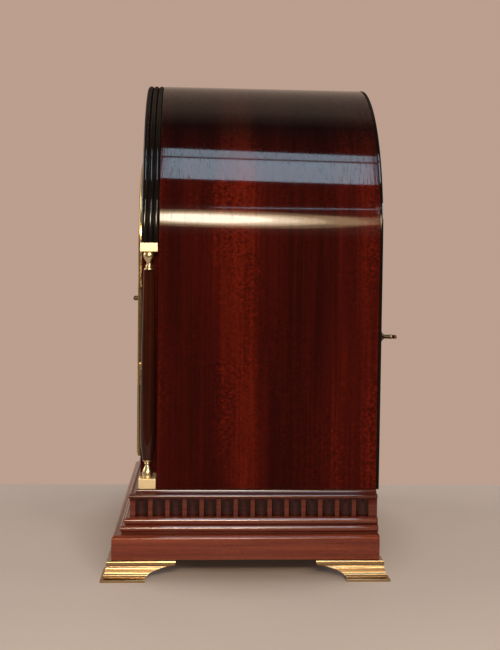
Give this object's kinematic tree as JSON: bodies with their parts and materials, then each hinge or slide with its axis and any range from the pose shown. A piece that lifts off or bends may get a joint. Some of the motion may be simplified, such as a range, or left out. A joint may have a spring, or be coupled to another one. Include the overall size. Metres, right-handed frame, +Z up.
{
  "type": "chiming clock",
  "caption": "Arched mahogany chiming bracket clock with corner columns, reeded black arch moulding, fluted plinth, brass bracket feet, glazed front door and fretted back door.",
  "frame": {"origin": "bottom centre of the whole clock's box, on the surface it stands on", "axes": "+X to the right of someone facing the dial, +Y from the dial to the back door, +Z up"},
  "size_m": [0.3982, 0.2762, 0.4765],
  "materials": {
    "mahogany": "glossy french polished figured mahogany",
    "mahogany_rail": "glossy straight-grained mahogany",
    "ebonised": "glossy black stained",
    "pale_wood": "bare oiled wood",
    "cast_brass": "polished cast brass",
    "matt_brass": "lacquered matt brass",
    "silvered": "silvered, lightly brushed",
    "blued_steel": "heat blued",
    "steel": "bright steel",
    "iron": "black painted casting",
    "glass": "clear, flat",
    "cloth": "fine silk weave"
  },
  "bodies": {
    "case": {"base_rail": "mahogany_rail", "step_moulding": "mahogany", "fluted_frieze": "mahogany", "cap_moulding": "mahogany", "floor_board": "pale_wood", "front_feet": "cast_brass", "back_feet": "cast_brass", "carcase": "mahogany", "front_board": "mahogany", "reeded_arch": "ebonised", "column_shaft_left": "mahogany", "column_shaft_right": "mahogany", "column_capitals": "matt_brass", "column_bases": "matt_brass", "back_frame": "ebonised", "back_hinge_leaves": "cast_brass", "front_hinge_leaves": "cast_brass", "dial_plate": "matt_brass", "chapter_ring": "silvered", "spandrels": "cast_brass", "small_dial_rings": "silvered", "seat_cleats": "pale_wood", "seat_board": "pale_wood", "front_plate": "matt_brass", "back_plate": "matt_brass", "plate_pillars": "matt_brass", "back_cock": "matt_brass", "hammer_rod": "steel", "gong_block": "iron", "gong_rods": "steel"},
    "front_door": {"front_door": "cast_brass", "front_glass": "glass", "front_door_hinges": "cast_brass"},
    "front_knob": {"front_knob": "cast_brass"},
    "back_door": {"back_door": "mahogany", "back_fret": "cast_brass", "fret_cloth": "cloth", "back_door_hinges": "cast_brass", "back_escutcheon": "cast_brass"},
    "back_key": {"back_key": "cast_brass"},
    "minute_hand": {"minute_hand": "blued_steel"},
    "hour_hand": {"hour_hand": "blued_steel"},
    "silent_hand": {"silent_hand": "blued_steel"},
    "rate_hand": {"rate_hand": "blued_steel"},
    "tune_hand": {"tune_hand": "blued_steel"},
    "going_barrel": {"going_barrel": "matt_brass"},
    "strike_barrel": {"strike_barrel": "matt_brass"},
    "chime_barrel": {"chime_barrel": "matt_brass"},
    "going_arbor": {"going_arbor": "steel"},
    "strike_arbor": {"strike_arbor": "steel"},
    "chime_arbor": {"chime_arbor": "steel"},
    "third_wheel": {"third_wheel": "matt_brass"},
    "escape_wheel": {"escape_wheel": "matt_brass"},
    "pallet_anchor": {"pallet_anchor": "steel"},
    "pendulum": {"pendulum": "matt_brass"},
    "pin_barrel": {"pin_barrel": "matt_brass"},
    "hammer_1": {"hammer_1": "matt_brass"},
    "hammer_2": {"hammer_2": "matt_brass"},
    "hammer_3": {"hammer_3": "matt_brass"},
    "hammer_4": {"hammer_4": "matt_brass"}
  },
  "joints": [
    {"name": "front_door_swing", "type": "hinge", "parent": "case", "child": "front_door", "pos_m": [0.0935, -0.10915, 0.1075], "axis": [0, 0, 1], "range_deg": [0, 110]},
    {"name": "front_knob_turn", "type": "hinge", "parent": "front_door", "child": "front_knob", "pos_m": [-0.084, -0.10495, 0.2505], "axis": [0, 1, 0], "range_deg": [0, 90]},
    {"name": "back_door_swing", "type": "hinge", "parent": "case", "child": "back_door", "pos_m": [-0.1497, 0.12105, 0.1075], "axis": [0, 0, 1], "range_deg": [0, 110]},
    {"name": "back_key_turn", "type": "hinge", "parent": "back_door", "child": "back_key", "pos_m": [0.141, 0.11865, 0.22], "axis": [0, -1, 0], "range_deg": [0, 90]},
    {"name": "minute_hand_turn", "type": "hinge", "parent": "case", "child": "minute_hand", "pos_m": [0, -0.08895, 0.19], "axis": [0, 1, 0], "continuous": true},
    {"name": "hour_hand_turn", "type": "hinge", "parent": "case", "child": "hour_hand", "pos_m": [0, -0.08895, 0.19], "axis": [0, 1, 0], "continuous": true},
    {"name": "going_barrel_turn", "type": "hinge", "parent": "case", "child": "going_barrel", "pos_m": [0, -0.06895, 0.14996], "axis": [0, 1, 0], "continuous": true},
    {"name": "third_wheel_turn", "type": "hinge", "parent": "case", "child": "third_wheel", "pos_m": [-0.01685, -0.06895, 0.21236], "axis": [0, 1, 0], "continuous": true},
    {"name": "escape_wheel_turn", "type": "hinge", "parent": "case", "child": "escape_wheel", "pos_m": [0.00001, -0.06895, 0.23109], "axis": [0, 1, 0], "continuous": true},
    {"name": "pendulum_swing", "type": "hinge", "parent": "case", "child": "pendulum", "pos_m": [0.00001, 0.01105, 0.25097], "axis": [0, 1, 0], "range_deg": [-2.5, 2.5]},
    {"name": "pallet_anchor_rock", "type": "hinge", "parent": "case", "child": "pallet_anchor", "pos_m": [0.00001, -0.06895, 0.25097], "axis": [0, 1, 0], "range_deg": [-2.5, 2.5]},
    {"name": "strike_barrel_turn", "type": "hinge", "parent": "case", "child": "strike_barrel", "pos_m": [-0.05, -0.06895, 0.15496], "axis": [0, 1, 0], "continuous": true},
    {"name": "chime_barrel_turn", "type": "hinge", "parent": "case", "child": "chime_barrel", "pos_m": [0.05, -0.06895, 0.15496], "axis": [0, 1, 0], "continuous": true},
    {"name": "pin_barrel_turn", "type": "hinge", "parent": "case", "child": "pin_barrel", "pos_m": [0.05, -0.06895, 0.20496], "axis": [0, 1, 0], "continuous": true},
    {"name": "going_winding_turn", "type": "hinge", "parent": "case", "child": "going_arbor", "pos_m": [0, -0.06895, 0.14996], "axis": [0, 1, 0], "continuous": true},
    {"name": "strike_winding_turn", "type": "hinge", "parent": "case", "child": "strike_arbor", "pos_m": [-0.05, -0.06895, 0.15496], "axis": [0, 1, 0], "continuous": true},
    {"name": "chime_winding_turn", "type": "hinge", "parent": "case", "child": "chime_arbor", "pos_m": [0.05, -0.06895, 0.15496], "axis": [0, 1, 0], "continuous": true},
    {"name": "silent_hand_turn", "type": "hinge", "parent": "case", "child": "silent_hand", "pos_m": [-0.044, -0.08895, 0.2895], "axis": [0, 1, 0], "range_deg": [-45, 45]},
    {"name": "rate_hand_turn", "type": "hinge", "parent": "case", "child": "rate_hand", "pos_m": [0.044, -0.08895, 0.2895], "axis": [0, 1, 0], "range_deg": [-150, 150]},
    {"name": "tune_hand_turn", "type": "hinge", "parent": "case", "child": "tune_hand", "pos_m": [0, -0.08895, 0.3365], "axis": [0, 1, 0], "range_deg": [-60, 60]},
    {"name": "hammer_1_lift", "type": "hinge", "parent": "case", "child": "hammer_1", "pos_m": [0.078, 0.00755, 0.18196], "axis": [0, 1, 0], "range_deg": [0, 18], "stiffness_Nm_per_rad": 0.02, "springref_deg": -17.19},
    {"name": "hammer_2_lift", "type": "hinge", "parent": "case", "child": "hammer_2", "pos_m": [0.078, 0.00755, 0.18196], "axis": [0, 1, 0], "range_deg": [0, 18], "stiffness_Nm_per_rad": 0.02, "springref_deg": -17.19},
    {"name": "hammer_3_lift", "type": "hinge", "parent": "case", "child": "hammer_3", "pos_m": [0.078, 0.00755, 0.18196], "axis": [0, 1, 0], "range_deg": [0, 18], "stiffness_Nm_per_rad": 0.02, "springref_deg": -17.19},
    {"name": "hammer_4_lift", "type": "hinge", "parent": "case", "child": "hammer_4", "pos_m": [0.078, 0.00755, 0.18196], "axis": [0, 1, 0], "range_deg": [0, 18], "stiffness_Nm_per_rad": 0.02, "springref_deg": -17.19}
  ],
  "couplings": [
    {"joint": "hour_hand_turn", "follows": "minute_hand_turn", "ratio": 0.083333},
    {"joint": "going_barrel_turn", "follows": "minute_hand_turn", "ratio": -0.16667},
    {"joint": "third_wheel_turn", "follows": "minute_hand_turn", "ratio": -6},
    {"joint": "escape_wheel_turn", "follows": "minute_hand_turn", "ratio": 36},
    {"joint": "pallet_anchor_rock", "follows": "pendulum_swing", "ratio": 1},
    {"joint": "pin_barrel_turn", "follows": "chime_barrel_turn", "ratio": -1.5}
  ]
}
